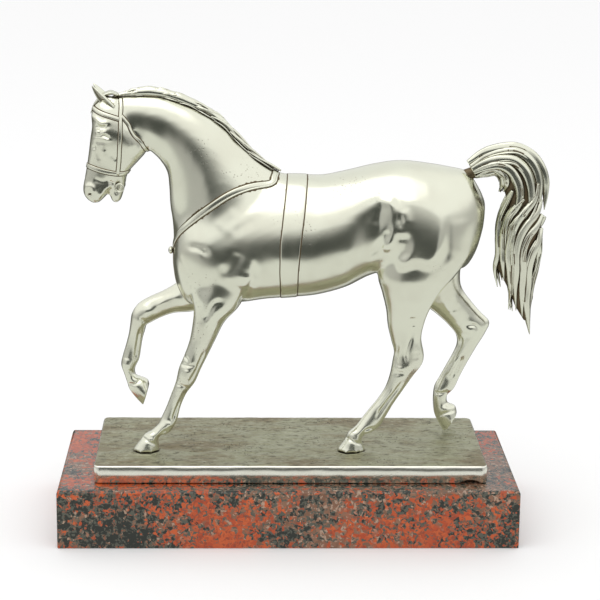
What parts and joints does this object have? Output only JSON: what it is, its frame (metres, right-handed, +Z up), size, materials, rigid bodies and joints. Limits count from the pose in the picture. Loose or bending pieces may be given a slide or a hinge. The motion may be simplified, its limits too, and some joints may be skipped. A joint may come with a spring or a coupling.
{
  "type": "horse statuette",
  "caption": "Cast metal figure of a harnessed horse walking, fixed to a cast ground plate on a polished rectangular granite plinth.",
  "frame": {"origin": "middle of the plinth's underside", "axes": "+Z up, +X along the plinth towards the horse's tail, so the horse faces -X and its near (left) side looks along -Y"},
  "size_m": [0.2434, 0.1, 0.2247],
  "materials": {
    "red_granite": "polished red granite with black and grey-green grains",
    "plate_metal": "rough cast and tarnished on top, satin on its edges",
    "silvered_metal": "satin silver with brownish tarnish in the hollows and small casting pits"
  },
  "bodies": {
    "root": {"granite_plinth": "red_granite", "ground_plate": "plate_metal", "horse": "silvered_metal"}
  },
  "joints": []
}
